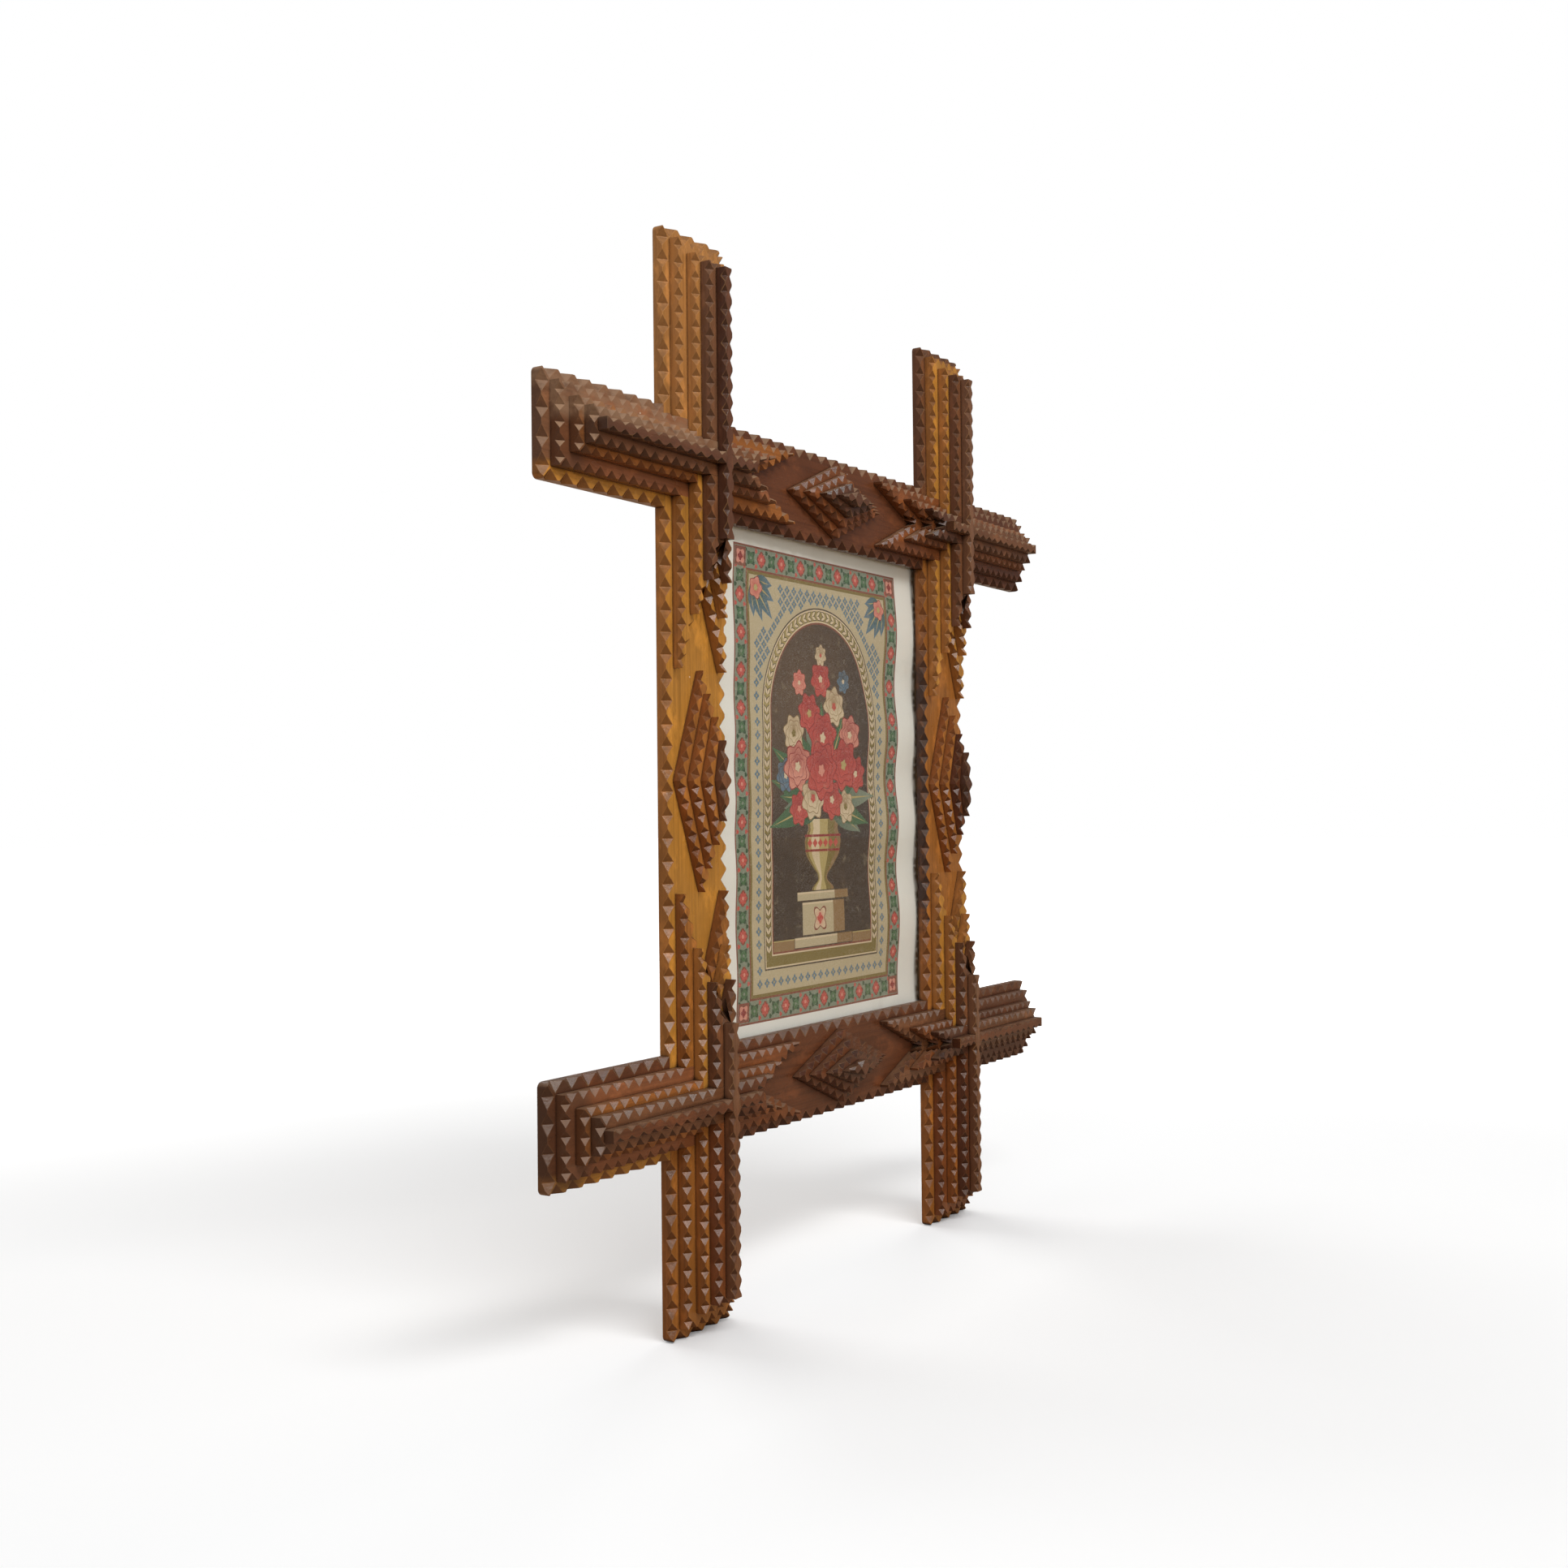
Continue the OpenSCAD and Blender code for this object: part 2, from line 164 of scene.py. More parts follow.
def carved_wood(name, along, low, high=None, crossing=0.0, seed=0, dust=0.12, under=None, grimy=None,
                film=None, handled=None):
    """Stained and varnished wood with its grain along one axis. The stain turns from low to high at the
    crossing. End grain keeps more of it, facets that face down are darkened as painted shade, arrises are
    rubbed pale, seams and hollows hold dirt and painted shade, dust and a painted sheen pale what faces up,
    and what faces the wall is bare. Under, if given, is the stain of what lies below a height; the
    window-edge reach, if given, is where along the grain the edge by the window is painted black as shade and
    grime; film is the height above which a share of dust clings to the front as well, and handled the place
    along the grain from which a left end is dark with hand marks."""
    high = high or low
    shift = grain_shift(seed)
    made, tree, shader = new_finish(name)
    point = add_node(tree, "ShaderNodeTexCoord").outputs["Object"]
    axes = add_node(tree, "ShaderNodeSeparateXYZ", {0: point})
    surface = add_node(tree, "ShaderNodeNewGeometry")
    facing = add_node(tree, "ShaderNodeSeparateXYZ", {0: surface.outputs["True Normal"]})
    nx, ny, nz = facing.outputs

    streaks = stretched_noise(tree, point, along, 1.7, 75, shift, 5)
    bands = stretched_noise(tree, point, along, 12, 190, shift, 2)
    blotches = stretched_noise(tree, point, along, 26, 60, shift, 4)
    pores = stretched_noise(tree, point, along, 0.5, 9, shift, 1)
    patches = stretched_noise(tree, point, along, 6, 8, shift, 2)
    mottle = stretched_noise(tree, point, along, 11, 22, shift[::-1], 4, 0.65)

    # Flats lie square to the front, facets slope at about 0.66 to it, and what is between is a worn arris
    slope = add_math(tree, "ABSOLUTE", ny)
    is_front = add_ramp(tree, slope, 0.97, 0.99)
    is_facet = add_math(tree, "MULTIPLY", add_ramp(tree, slope, 0.5, 0.52), add_ramp(tree, slope, 0.8, 0.78))
    below = add_math(tree, "MULTIPLY", add_ramp(tree, slope, 0.1, 0.14), add_ramp(tree, slope, 0.52, 0.5))
    above = add_math(tree, "MULTIPLY", add_ramp(tree, slope, 0.78, 0.8), add_ramp(tree, slope, 0.99, 0.98))
    is_arris = add_math(tree, "ADD", below, above, clamp=True)

    is_high = add_ramp(tree, axes.outputs[along], crossing - 3 * MM, crossing + 3 * MM)
    face = add_mix(tree, is_high, low[0], high[0])
    edge = add_mix(tree, is_high, low[1], high[1])
    if under:
        stain, height = under
        is_under = add_math(tree, "MULTIPLY", add_math(tree, "SUBTRACT", 1.0, is_high),
                            add_ramp(tree, axes.outputs[2], height + 2 * MM, height - 3 * MM))
        face = add_mix(tree, is_under, face, stain[0])
        edge = add_mix(tree, is_under, edge, stain[1])
    tone = add_mix(tree, is_front, edge, face)
    deep = add_node(tree, "ShaderNodeVectorMath", {0: tone, "Scale": DEEPER}, operation="SCALE").outputs[0]
    pale = add_node(tree, "ShaderNodeVectorMath", {0: tone, 1: PALER}, operation="MULTIPLY").outputs[0]

    grain = add_blend(tree, streaks, bands, 0.6)
    colour = add_mix(tree, add_ramp(tree, grain, 0.36, 0.58, 0.55, 0.0), tone, deep)
    colour = add_mix(tree, add_ramp(tree, blotches, 0.5, 0.78, 0.0, 0.6), colour, deep)
    colour = add_mix(tree, add_ramp(tree, mottle, 0.5, 0.72, 0.0, 0.8), colour, pale)
    colour = add_mix(tree, add_ramp(tree, pores, 0.33, 0.22, 0.0, 0.35), colour, PORE)
    soaked = add_math(tree, "MULTIPLY", is_facet, add_ramp(tree, patches, 0.38, 0.62, 0.0, 0.6))
    # Painted shade: facets that face down are darkened toward the deep tone
    painted_shade_below = add_math(tree, "MULTIPLY", is_facet, add_ramp(tree, nz, -0.2, -0.45, 0.0, 0.65))
    colour = add_mix(tree, add_math(tree, "MAXIMUM", soaked, painted_shade_below), colour, deep)
    is_end = add_ramp(tree, add_math(tree, "ABSOLUTE", facing.outputs[along]), 0.85, 0.95, 0.0, 0.6)
    colour = add_mix(tree, is_end, colour, deep)
    rubbed = add_math(tree, "MULTIPLY", is_arris, add_ramp(tree, patches, 0.4, 0.6, 0.05, 0.35))
    colour = add_mix(tree, rubbed, colour, add_mix(tree, 0.4, tone, RUBBED))

    # Painted shade and grime on the edge by the window: faces that look into the window are darkened to near
    # black
    if grimy:
        reach = add_math(tree, "ADD", axes.outputs[along], add_math(tree, "MULTIPLY", patches, 60 * MM))
        shaded_edge = add_math(tree, "MULTIPLY", add_ramp(tree, reach, grimy[0], grimy[0] + 40 * MM),
                        add_ramp(tree, reach, grimy[1], grimy[1] - 40 * MM))
        shaded_edge = add_math(tree, "MULTIPLY", shaded_edge, add_ramp(tree, nx, -0.35, -0.5))
        shaded_edge = add_math(tree, "MULTIPLY", shaded_edge, add_ramp(tree, patches, 0.3, 0.55, 0.6, 0.95))
        colour = add_mix(tree, shaded_edge, colour, SHADE_AND_GRIME)

    if handled is not None:
        marks = add_ramp(tree, axes.outputs[along], handled + 14 * MM, handled, 0.0, 0.62)
        colour = add_mix(tree, marks, colour, HAND_MARK)

    # Dirt and painted shade: the wood is darkened to near black where little open sky is near, in hollows and
    # in the seams between strips
    open_sky = add_node(tree, "ShaderNodeAmbientOcclusion", {"Distance": 4 * MM}, samples=6).outputs["AO"]
    dirt_and_shade = add_ramp(tree, open_sky, 0.7, 0.28, 0.0, 0.92)
    seam = add_node(tree, "ShaderNodeAmbientOcclusion", {"Distance": 1.6 * MM}, samples=6).outputs["AO"]
    dirt_and_shade = add_math(tree, "MAXIMUM", dirt_and_shade, add_ramp(tree, seam, 0.66, 0.5, 0.0, 0.92))
    colour = add_mix(tree, dirt_and_shade, colour, DIRT_AND_SHADE)

    # Dust and a painted sheen: what faces up is paled toward a grey-brown, in clouds
    upward = add_ramp(tree, nz, 0.25, 0.6)
    cloud = add_ramp(tree, stretched_noise(tree, point, along, 5, 12, shift, 4), 0.3, 0.6, 0.35, 1.0)
    dusty = add_math(tree, "MULTIPLY", add_math(tree, "MULTIPLY", upward, cloud), dust)
    if film:
        height, share = film
        clings = add_math(tree, "MULTIPLY", add_math(tree, "SUBTRACT", 1.0, is_high),
                          add_ramp(tree, axes.outputs[2], height - 3 * MM, height + 5 * MM, 0.0, share))
        dusty = add_math(tree, "MAXIMUM", dusty, add_math(tree, "MULTIPLY", clings, cloud))
    colour = add_mix(tree, dusty, colour, DUST_AND_SHEEN)

    is_back = add_ramp(tree, ny, 0.6, 0.9)
    fibres = add_blend(tree, streaks, pores, 0.75)
    bare = add_mix(tree, add_ramp(tree, fibres, 0.4, 0.58), BARE_DEEP, BARE_PALE)
    bare = add_mix(tree, add_ramp(tree, bands, 0.5, 0.66, 0.0, 0.45), bare, BARE_BAND)
    colour = add_mix(tree, is_back, colour, bare)

    cells = add_node(tree, "ShaderNodeTexVoronoi", {"Vector": point, "Scale": 90.0, "Randomness": 1.0})
    draw = add_node(tree, "ShaderNodeSeparateColor", {0: cells.outputs["Color"]}).outputs[0]
    chip = add_math(tree, "MULTIPLY", add_math(tree, "GREATER_THAN", draw, 0.9),
                    add_ramp(tree, cells.outputs["Distance"], 0.06, 0.03))
    colour = add_mix(tree, add_math(tree, "MULTIPLY", chip, 0.8), colour, CHIP)
    tree.links.new(colour, shader.inputs["Base Color"])

    rough = add_ramp(tree, blotches, 0.3, 0.7, 0.22, 0.36)
    rough = add_math(tree, "SUBTRACT", rough, add_math(tree, "MULTIPLY", is_facet, 0.08))
    rough = add_math(tree, "ADD", rough, add_math(tree, "MULTIPLY", dusty, 0.5))
    rough = add_math(tree, "ADD", rough, add_math(tree, "MULTIPLY", is_back, 0.35), clamp=True)
    tree.links.new(rough, shader.inputs["Roughness"])
    shader.inputs["Specular IOR Level"].default_value = 0.24

    knife = stretched_noise(tree, point, along, 3.5, 5, shift, 3)
    relief = add_math(tree, "ADD", add_math(tree, "MULTIPLY", streaks, 0.35), knife)
    relief = add_math(tree, "ADD", relief, add_math(tree, "MULTIPLY", pores, 0.25))
    bump = add_node(tree, "ShaderNodeBump", {"Height": relief, "Strength": 0.45, "Distance": 0.5 * MM})
    tree.links.new(bump.outputs[0], shader.inputs["Normal"])
    return made


def soften_arrises(node, width_mm):
    """Rounds the sharp arrises of a CAD node, as handling and varnish do, over merged flat faces."""
    node.modifiers.new("Merge", "WELD").merge_threshold = 0.002 * MM
    flat = node.modifiers.new("Flat faces", "DECIMATE")
    flat.decimate_type = "DISSOLVE"
    flat.angle_limit = math.radians(0.5)
    node.modifiers.new("Short edges", "WELD").merge_threshold = 0.32 * MM
    round_off = node.modifiers.new("Worn arrises", "BEVEL")
    round_off.width = width_mm * MM
    round_off.segments = 2
    round_off.limit_method = "ANGLE"
    round_off.angle_limit = math.radians(20)
    node.modifiers.new("Face normals", "WEIGHTED_NORMAL").keep_sharp = False


def dress(name, finish):
    """Gives one CAD node a finish in place of the one that it was loaded with."""
    nodes[name].data.materials.clear()
    nodes[name].data.materials.append(finish)


def finish_wood(name, width_mm, **stain):
    """Gives one CAD node its rounded arrises and its own cut of stained wood."""
    soften_arrises(nodes[name], width_mm)
    dress(name, carved_wood(f"{name}_wood", **stain))


finish_wood("left_stile", BOARD_ARRIS_MM, along=STILE_AXIS, low=OCHRE, high=TAN, crossing=UPPER_CROSSING,
            seed=1, under=(HONEY, LOWER_CROSSING))
finish_wood("right_stile", BOARD_ARRIS_MM, along=STILE_AXIS, low=HONEY, high=BROWN, crossing=UPPER_CROSSING,
            seed=2, grimy=(LOWER_CROSSING + 100 * MM, UPPER_CROSSING - 40 * MM))

# Rails: two boards like the stiles, which they cross in halved joints. Their fronts are stained a dark
# reddish brown, the lower edges of their left arms stayed pale, and hands have darkened the lower left end.
PALE_EDGE = 20 * MM
LEFT_END = cad_low.x + 20 * MM
finish_wood("top_rail", BOARD_ARRIS_MM, along=RAIL_AXIS, low=UMBER, high=RED, crossing=LEFT_CROSSING,
            seed=3, dust=0.8, under=(OCHRE, UPPER_CROSSING - PALE_EDGE),
            film=(UPPER_CROSSING + PALE_EDGE, 0.5))
finish_wood("bottom_rail", BOARD_ARRIS_MM, along=RAIL_AXIS, low=RED, crossing=LEFT_CROSSING,
            seed=4, dust=0.3, under=(OCHRE, LOWER_CROSSING - PALE_EDGE), handled=LEFT_END)

# Corner strips: four tiers of thin wood glued and pinned on each crossing, each narrower than the one
# below. Their edges are notched as the boards are, and each strip was stained before it was laid.
# For each tier, the first stain is that of the left or lower end and the second that of the other end.
STRIP_ARRIS_MM = 0.3
CORNER_CROSSINGS = {
    "top_left": (LEFT_CROSSING, UPPER_CROSSING),
    "top_right": (RIGHT_CROSSING, UPPER_CROSSING),
    "bottom_left": (LEFT_CROSSING, LOWER_CROSSING),
    "bottom_right": (RIGHT_CROSSING, LOWER_CROSSING),
}
RAIL_STRIP_STAINS = {
    "top_left": [(CHESTNUT, ORANGE), (ORANGE, CHESTNUT), (BROWN, BROWN), (DARK, DARK)],
    "top_right": [(RUST, RED), (RUST, CHESTNUT), (DARK, BROWN), (BROWN, BROWN)],
    "bottom_left": [(CHESTNUT, RUST), (ORANGE, RUST), (BROWN, RED), (RED, RED)],
    "bottom_right": [(BROWN, RED), (RUST, RED), (DARK, BROWN), (RED, RED)],
}
STILE_STRIP_STAINS = {
    "top_left": [(OCHRE, TAN), (OCHRE, TAN), (BROWN, UMBER), (DARK, DARK)],
    "top_right": [(OCHRE, OCHRE), (OCHRE, OCHRE), (BROWN, BROWN), (UMBER, UMBER)],
    "bottom_left": [(HONEY, HONEY), (HONEY, OCHRE), (RUST, BROWN), (BROWN, UMBER)],
    "bottom_right": [(RUST, OCHRE), (ORANGE, OCHRE), (RED, BROWN), (BROWN, UMBER)],
}
RAIL_STRIP_FILM = {"top_left": (UPPER_CROSSING + 3 * MM, 0.6)}
RAIL_STRIP_DUST_AND_SHEEN = {"top_left": 0.9, "top_right": 0.7, "bottom_left": 0.4, "bottom_right": 0.3}
seed = 10
for corner, (crossing_x, crossing_z) in CORNER_CROSSINGS.items():
    for tier in (1, 2, 3, 4):
        seed += 2
        rail_piece, stile_piece = "long_strip", "short_strips"
        if tier in (2, 4):
            rail_piece, stile_piece = stile_piece, rail_piece
        low, high = RAIL_STRIP_STAINS[corner][tier - 1]
        finish_wood(f"{corner}_tier{tier}_{rail_piece}", STRIP_ARRIS_MM, along=RAIL_AXIS, low=low,
                    high=high, crossing=crossing_x, seed=seed, dust=RAIL_STRIP_DUST_AND_SHEEN[corner],
                    film=RAIL_STRIP_FILM.get(corner), handled=LEFT_END)
        low, high = STILE_STRIP_STAINS[corner][tier - 1]
        finish_wood(f"{corner}_tier{tier}_{stile_piece}", STRIP_ARRIS_MM, along=STILE_AXIS, low=low,
                    high=high, crossing=crossing_z, seed=seed + 1)

# Lozenges: four stacked, notched tiers of the same thin wood in the middle of each member, glued on and
# stained from toffee, rust or red below to a dark brown on top. For each member, the axis of its grain,
# its share of dust and painted sheen, and its stains.
LOZENGE_STAINS = {
    "left_stile": (STILE_AXIS, 0.12, [TOFFEE, TOFFEE, TOFFEE, BROWN]),
    "right_stile": (STILE_AXIS, 0.12, [TOFFEE, TOFFEE, RED, DARK]),
    "top_rail": (RAIL_AXIS, 0.6, [RUST, RUST, DARK, DARK]),
    "bottom_rail": (RAIL_AXIS, 0.2, [RED, RED, DARK, DARK]),
}
for member, (along, dust, stains) in LOZENGE_STAINS.items():
    for tier, stain in enumerate(stains, 1):
        seed += 1
        finish_wood(f"{member}_lozenge_tier{tier}", STRIP_ARRIS_MM, along=along, low=stain, seed=seed,
                    dust=dust)


# Back cleats and backboard: bare, sawn softwood behind the window, brown with age. The cleats are glued to
# the boards, and the backboard is a thin panel that closes the pocket.
PINE_ARRIS_MM = 0.5
PINE_PALE, PINE_DEEP = paint(176, 142, 98), paint(132, 98, 62)
# The colour of old stains on the pine, and the dark that dirt and painted shade leave in its hollows
PINE_STAIN, PINE_DIRT_AND_SHADE = paint(92, 72, 54), paint(46, 34, 26)
CLEAT_W = 12 * MM


def bare_wood(name, along, pale, deep, seed, upright=None):
    """Unvarnished sawn wood with its grain along one axis: streaks, fine saw marks, old stains, and dirt and
    painted shade in its hollows. Between the two heights of upright, if given, X and Z change places and the
    grain stands up."""
    shift = grain_shift(seed)
    made, tree, shader = new_finish(name)
    point = add_node(tree, "ShaderNodeTexCoord").outputs["Object"]
    if upright:
        x, y, z = add_node(tree, "ShaderNodeSeparateXYZ", {0: point}).outputs
        turned = add_node(tree, "ShaderNodeCombineXYZ", {0: z, 1: y, 2: x}).outputs[0]
        stands = add_math(tree, "MULTIPLY", add_math(tree, "GREATER_THAN", z, upright[0]),
                          add_math(tree, "LESS_THAN", z, upright[1]))
        either = add_node(tree, "ShaderNodeMix", {0: stands, 4: point, 5: turned}, data_type="VECTOR")
        point = either.outputs[1]
    streaks = stretched_noise(tree, point, along, 1.3, 80, shift, 6, 0.65)
    bands = stretched_noise(tree, point, along, 10, 260, shift, 3)
    stains = stretched_noise(tree, point, along, 45, 60, shift, 4)
    saw = stretched_noise(tree, point, along, 30, 0.9, shift, 1)
    colour = add_mix(tree, add_ramp(tree, add_blend(tree, streaks, bands, 0.7), 0.4, 0.58), deep, pale)
    colour = add_mix(tree, add_ramp(tree, stains, 0.5, 0.8, 0.0, 0.5), colour, PINE_STAIN)
    # Dirt and painted shade in the pine's hollows, where little open sky is near
    open_sky = add_node(tree, "ShaderNodeAmbientOcclusion", {"Distance": 6 * MM}, samples=6).outputs["AO"]
    colour = add_mix(tree, add_ramp(tree, open_sky, 0.75, 0.2, 0.0, 0.7), colour, PINE_DIRT_AND_SHADE)
    tree.links.new(colour, shader.inputs["Base Color"])
    tree.links.new(add_ramp(tree, streaks, 0.3, 0.7, 0.7, 0.85), shader.inputs["Roughness"])
    relief = add_math(tree, "ADD", streaks, add_math(tree, "MULTIPLY", saw, 0.5))
    bump = add_node(tree, "ShaderNodeBump", {"Height": relief, "Strength": 0.4, "Distance": 0.4 * MM})
    tree.links.new(bump.outputs[0], shader.inputs["Normal"])
    shader.inputs["Specular IOR Level"].default_value = 0.25
    return made


side_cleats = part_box("back_cleats")[0].z + CLEAT_W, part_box("back_cleats")[1].z - CLEAT_W
PINE_PIECES = (("back_cleats", RAIL_AXIS, 71, side_cleats), ("backboard", STILE_AXIS, 72, None))
for name, along, seed, upright in PINE_PIECES:
    soften_arrises(nodes[name], PINE_ARRIS_MM)
    dress(name, bare_wood(f"{name}_pine", along, PINE_PALE, PINE_DEEP, seed, upright))

# Glass: a thin old pane in front of the print, held in the pocket. Clear, with a weak reflection that
# grows towards a glancing view.
glass, tree, shader = new_finish("window_glass")
tree.nodes.remove(shader)
glance = add_node(tree, "ShaderNodeLayerWeight", {"Blend": 0.5}).outputs["Facing"]
at_edge = add_math(tree, "MULTIPLY", add_math(tree, "POWER", glance, 5.0), 0.6)
mirror_share = add_math(tree, "ADD", at_edge, 0.03)
clear = add_node(tree, "ShaderNodeBsdfTransparent", {"Color": paint(254, 254, 253)})
mirror = add_node(tree, "ShaderNodeBsdfGlossy", {"Roughness": 0.03})
both = add_node(tree, "ShaderNodeMixShader", {0: mirror_share, 1: clear.outputs[0], 2: mirror.outputs[0]})
tree.links.new(both.outputs[0], tree.nodes["Material Output"].inputs["Surface"])
dress("glass_pane", glass)

# Printed sheet: a colour print on white paper that has buckled in the damp, mostly along its right-hand
# margin. The design is a plain one: an urn of flowers on a pedestal, in a tall niche.
sheet_low, sheet_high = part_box("printed_sheet")
PRINT_X, PRINT_Z = 1.0, -204.5
PRINT_W, PRINT_H = 212.0, 305.0
PAPER_T = 0.3
PAPER = (*paint(242, 240, 233)[:3], 0.0)
LINE_RED = paint(138, 74, 58)
SAGE, LEAF, DEEP_LEAF = paint(134, 144, 124), paint(76, 112, 74), paint(50, 80, 54)
ROSE, DEEP_ROSE, BLUSH = paint(200, 84, 74), paint(150, 48, 48), paint(222, 150, 130)
GOLD, PALE_GOLD, SHADE = paint(132, 114, 58), paint(188, 168, 108), paint(74, 58, 44)
CREAM, SKY, TAN_INK = paint(222, 202, 168), paint(100, 126, 146), paint(150, 118, 78)
STONE, EARTH, DEEP_EARTH = paint(196, 180, 146), paint(100, 78, 58), paint(64, 48, 37)
inks = []


def ink(outline, colour, heart=None, at=(0.0, 0.0), reach=1.0):
    """Lays one shape, given in millimetres from the print's middle, over what is printed so far. Its colour
    is flat, or goes from a heart's at one place to its own where that is a reach away."""
    inks.append((np.asarray(outline, float), colour, heart or colour, at, reach))


def ink_box(x0, z0, x1, z1, colour):
    """A plain rectangle between two corners."""
    ink([(x0, z0), (x1, z0), (x1, z1), (x0, z1)], colour)


def rosette(x, z, radius, petals, wave, turn=0.0, points=40):
    """A round whose radius swings by the share wave, once for each petal."""
    a = np.linspace(0, 2 * np.pi, points, endpoint=False)
    r = radius * (1 + wave * np.cos(petals * (a - turn)))
    return np.column_stack([x + r * np.cos(a), z + r * np.sin(a)])


def leaf(x, z, length, width, turn, points=9):
    """A pointed leaf from its stalk: half its width goes as the sine of the way along it."""
    t = np.linspace(0, np.pi, points)
    half = width / 2 * np.sin(t) ** 1.2
    along = np.concatenate([length * t / np.pi, length * t[-2:0:-1] / np.pi])
    side = np.concatenate([half, -half[-2:0:-1]])
    return np.column_stack([x + along * np.cos(turn) - side * np.sin(turn),
                            z + along * np.sin(turn) + side * np.cos(turn)])


def niche(half_w, floor, spring, points=40):
    """A round-headed niche: straight sides up to the spring of a half circle."""
    a = np.linspace(0, np.pi, points)
    head = np.column_stack([half_w * np.cos(a), spring + half_w * np.sin(a)])
    return np.vstack([head, [[-half_w, floor], [half_w, floor]]])


sheet_w, sheet_h = (sheet_high.x - sheet_low.x) / MM, (sheet_high.z - sheet_low.z) / MM
sheet_mid_x = (sheet_high.x + sheet_low.x) / 2 / MM - PRINT_X
sheet_mid_z = (sheet_high.z + sheet_low.z) / 2 / MM - PRINT_Z
ink_box(sheet_mid_x - sheet_w / 2, sheet_mid_z - sheet_h / 2,
        sheet_mid_x + sheet_w / 2, sheet_mid_z + sheet_h / 2, PAPER)

# The border of the print: sage between red lines, with leaves and small roses in turn
BORDER_W, RED_LINE, GOLD_LINE = 16.0, 1.3, 2.2
END_MOTIFS, SIDE_MOTIFS = 16, 24
CORNER_BLOCK, DOT_ASIDE = 6.2, 4.9
half_w, half_h = PRINT_W / 2, PRINT_H / 2
BORDER_BANDS = ((0, LINE_RED), (RED_LINE, SAGE), (BORDER_W - RED_LINE, LINE_RED), (BORDER_W, GOLD),
                (BORDER_W + GOLD_LINE, STONE))
for inset, colour in BORDER_BANDS:
    ink_box(inset - half_w, inset - half_h, half_w - inset, half_h - inset, colour)


def border_motif(x, z, is_rose, turn):
    """A rose on a red ring, or a cross of four leaves with an eye."""
    if is_rose:
        ink(rosette(x, z, 4.9, 4, 0.12, turn, 24), LINE_RED)
        ink(rosette(x, z, 3.9, 8, 0.2, turn, 32), ROSE)
        ink(rosette(x, z, 1.3, 4, 0.0, turn, 8), BLUSH)
    else:
        for quarter in range(4):
            ink(leaf(x, z, 6.2, 3.8, turn + quarter * np.pi / 2 + np.pi / 4), DEEP_LEAF)
        ink(rosette(x, z, 3.4, 4, 0.1, turn, 24), LEAF)
        ink(rosette(x, z, 1.1, 4, 0.0, turn, 8), SAGE)


def border_run(from_x, from_z, to_x, to_z, count):
    """Motifs in even steps from one corner block to the next, with a dot on each side between them."""
    run = np.array([to_x - from_x, to_z - from_z]) / count
    side = np.array([-run[1], run[0]]) / np.linalg.norm(run)
    for i in range(1, count):
        x, z = np.array([from_x, from_z]) + run * i
        border_motif(x, z, i % 2 == 0, 0.0)
    for i in range(count):
        middle = np.array([from_x, from_z]) + run * (i + 0.5)
        for s in (-1, 1):
            x, z = middle + s * DOT_ASIDE * side
            ink(rosette(x, z, 1.5, 3, 0.15, 0.0, 12), ROSE if i % 2 else DEEP_LEAF)


mid = BORDER_W / 2
border_run(mid - half_w, half_h - mid, half_w - mid, half_h - mid, END_MOTIFS)
border_run(mid - half_w, mid - half_h, half_w - mid, mid - half_h, END_MOTIFS)
border_run(mid - half_w, mid - half_h, mid - half_w, half_h - mid, SIDE_MOTIFS)
border_run(half_w - mid, mid - half_h, half_w - mid, half_h - mid, SIDE_MOTIFS)
for sx in (-1, 1):
    for sz in (-1, 1):
        x, z = sx * (half_w - mid), sz * (half_h - mid)
        ink_box(x - CORNER_BLOCK, z - CORNER_BLOCK, x + CORNER_BLOCK, z + CORNER_BLOCK, LINE_RED)
        ink(rosette(x, z, 4.6, 4, 0.22, np.pi / 4), BLUSH)
        ink(rosette(x, z, 2.6, 4, 0.2, 0.0, 24), DEEP_ROSE)

# The ground: a lattice of blue quatrefoils with gold eyes round the niche, and in each upper corner a fan
# of leaves from a rose
NICHE_W, NICHE_FLOOR, NICHE_SPRING, NICHE_BAND = 63.0, -109.0, 46.0, 11.0
FAN_INSET, FAN_REACH, FAN_TAPER, FAN_LEAF_W = 5.2, 34.0, 14.0, 9.5
FAN_BENDS = np.radians([-40, 40, -20, 20, 0])
FAN_X, FAN_Z = half_w - BORDER_W - FAN_INSET, half_h - BORDER_W - FAN_INSET
FOIL_STEP, FOIL_ROOM = 8.4, 4.0
FOIL_X, FOIL_Z = 80, 128
for row, foil_z in enumerate(np.arange(-FOIL_Z, FOIL_Z + 2, FOIL_STEP / 2)):
    for foil_x in np.arange(-FOIL_X + FOIL_STEP / 2 * (row % 2), FOIL_X + 2, FOIL_STEP):
        beside_niche = math.hypot(foil_x, max(foil_z - NICHE_SPRING, 0)) - NICHE_W
        below_niche = NICHE_FLOOR - foil_z
        from_fan = math.hypot(FAN_X - abs(foil_x), FAN_Z - foil_z) - FAN_REACH
        if max(beside_niche, below_niche) > NICHE_BAND + FOIL_ROOM and from_fan > 0:
            ink(rosette(foil_x, foil_z, 2.5, 4, 0.3, 0.0, 16), SKY)
            ink(rosette(foil_x, foil_z, 0.9, 4, 0.0, 0.0, 8), PALE_GOLD)
